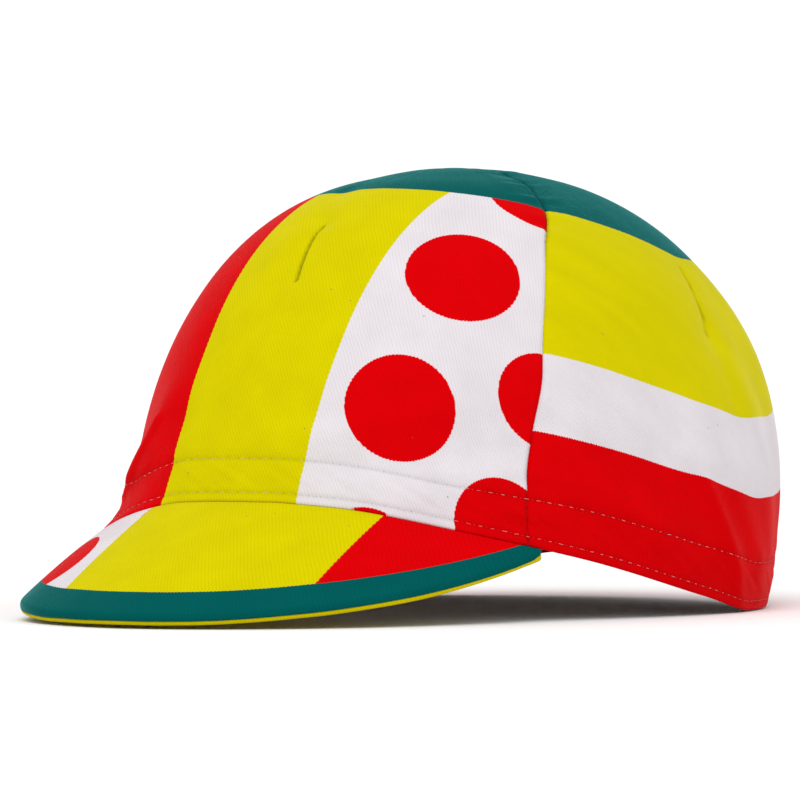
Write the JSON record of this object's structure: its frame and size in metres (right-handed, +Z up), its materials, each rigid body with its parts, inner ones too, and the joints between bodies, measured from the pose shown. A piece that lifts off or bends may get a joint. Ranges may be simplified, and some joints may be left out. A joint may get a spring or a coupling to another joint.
{
  "type": "cycling cap",
  "caption": "Soft cotton cycling cap with a rounded crown joined by a cross seam, a short down-turned peak and a band inside the open base.",
  "frame": {"origin": "middle of the cap's footprint, on the surface that it stands on", "axes": "+X towards the wearer's left, -Y towards the peak, +Z up"},
  "size_m": [0.1586, 0.2382, 0.115],
  "materials": {
    "crown_front_twill": "matt cotton twill, printed",
    "crown_back_twill": "matt cotton twill, printed",
    "band_cotton": "matt plain cotton",
    "peak_top_twill": "matt cotton twill, printed",
    "peak_under_twill": "matt cotton twill"
  },
  "bodies": {
    "root": {"crown_front": "crown_front_twill", "crown_back": "crown_back_twill", "sweatband": "band_cotton", "peak_top": "peak_top_twill", "peak_under": "peak_under_twill"}
  },
  "joints": []
}
